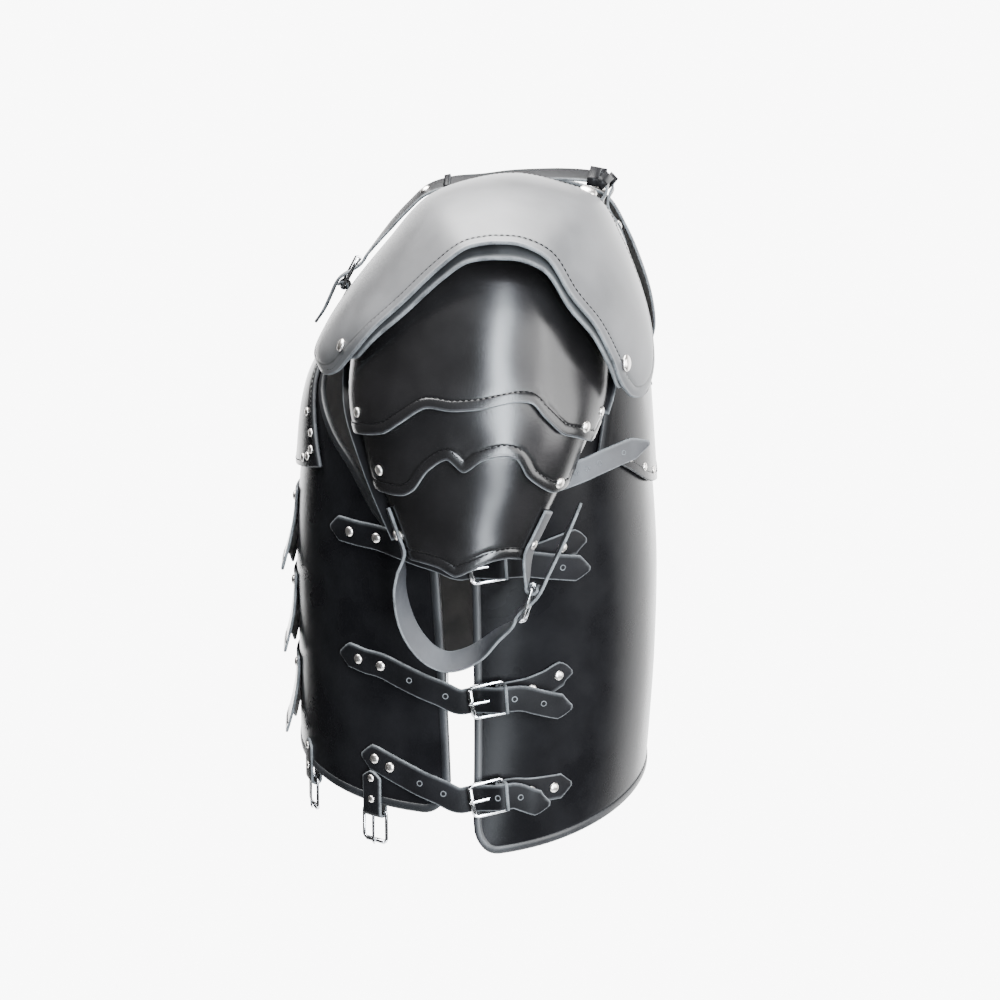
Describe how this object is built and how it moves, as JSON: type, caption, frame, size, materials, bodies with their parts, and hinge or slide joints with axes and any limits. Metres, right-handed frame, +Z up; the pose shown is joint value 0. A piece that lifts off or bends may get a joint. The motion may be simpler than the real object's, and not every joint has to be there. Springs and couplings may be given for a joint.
{
  "type": "leather cuirass",
  "caption": "Black leather cuirass with front and back plates, laminated pauldrons, belly lames, buckled side and shoulder straps, and tasset buckles at the hem.",
  "frame": {"origin": "between the wearer's shoulders, level with the shoulder line, on the plane of symmetry", "axes": "+Z up, -Y towards the wearer's front, +X towards the wearer's left"},
  "size_m": [0.5666, 0.3375, 0.5432],
  "materials": {
    "leather": "satin",
    "strap": "satin",
    "metal": "polished"
  },
  "bodies": {
    "shell": {"front_plate": "leather", "back_plate": "leather", "chest_plate": "leather", "back_yoke": "leather", "belly_lame_upper": "leather", "belly_lame_middle": "leather", "belly_lame_lower": "leather", "left_pauldron_cap": "leather", "left_pauldron_under_cap": "leather", "left_arm_lame_upper": "leather", "left_arm_lame_middle": "leather", "left_arm_lame_lower": "leather", "left_arm_strap": "strap", "left_arm_strap_hanger": "strap", "left_rear_strap": "strap", "left_shoulder_strap": "strap", "left_shoulder_tab": "strap", "left_side_strap_upper": "strap", "left_side_tab_upper": "strap", "left_side_strap_middle": "strap", "left_side_tab_middle": "strap", "left_side_strap_lower": "strap", "left_side_tab_lower": "strap", "left_tasset_tab_outer": "strap", "left_tasset_tab_inner": "strap", "left_arm_buckle": "metal", "left_shoulder_buckle": "metal", "left_side_buckle_upper": "metal", "left_side_buckle_middle": "metal", "left_side_buckle_lower": "metal", "right_pauldron_cap": "leather", "right_pauldron_under_cap": "leather", "right_arm_lame_upper": "leather", "right_arm_lame_middle": "leather", "right_arm_lame_lower": "leather", "right_arm_strap": "strap", "right_arm_strap_hanger": "strap", "right_rear_strap": "strap", "right_shoulder_strap": "strap", "right_shoulder_tab": "strap", "right_side_strap_upper": "strap", "right_side_tab_upper": "strap", "right_side_strap_middle": "strap", "right_side_tab_middle": "strap", "right_side_strap_lower": "strap", "right_side_tab_lower": "strap", "right_tasset_tab_outer": "strap", "right_tasset_tab_inner": "strap", "right_arm_buckle": "metal", "right_shoulder_buckle": "metal", "right_side_buckle_upper": "metal", "right_side_buckle_middle": "metal", "right_side_buckle_lower": "metal"},
    "left_tasset_buckle_outer": {"left_tasset_buckle_outer": "metal"},
    "right_tasset_buckle_outer": {"right_tasset_buckle_outer": "metal"},
    "left_tasset_buckle_inner": {"left_tasset_buckle_inner": "metal"},
    "right_tasset_buckle_inner": {"right_tasset_buckle_inner": "metal"}
  },
  "joints": [
    {"name": "left_tasset_buckle_outer_swing", "type": "hinge", "parent": "shell", "child": "left_tasset_buckle_outer", "pos_m": [0.18406, -0.06504, -0.51], "axis": [-0.467, -0.8843, 0], "range_deg": [-45, 90]},
    {"name": "right_tasset_buckle_outer_swing", "type": "hinge", "parent": "shell", "child": "right_tasset_buckle_outer", "pos_m": [-0.18406, -0.06504, -0.51], "axis": [-0.467, 0.8843, 0], "range_deg": [-45, 90]},
    {"name": "left_tasset_buckle_inner_swing", "type": "hinge", "parent": "shell", "child": "left_tasset_buckle_inner", "pos_m": [0.11473, -0.13148, -0.51], "axis": [-0.8817, -0.4718, 0], "range_deg": [-45, 90]},
    {"name": "right_tasset_buckle_inner_swing", "type": "hinge", "parent": "shell", "child": "right_tasset_buckle_inner", "pos_m": [-0.11473, -0.13148, -0.51], "axis": [-0.8817, 0.4718, 0], "range_deg": [-45, 90]}
  ]
}
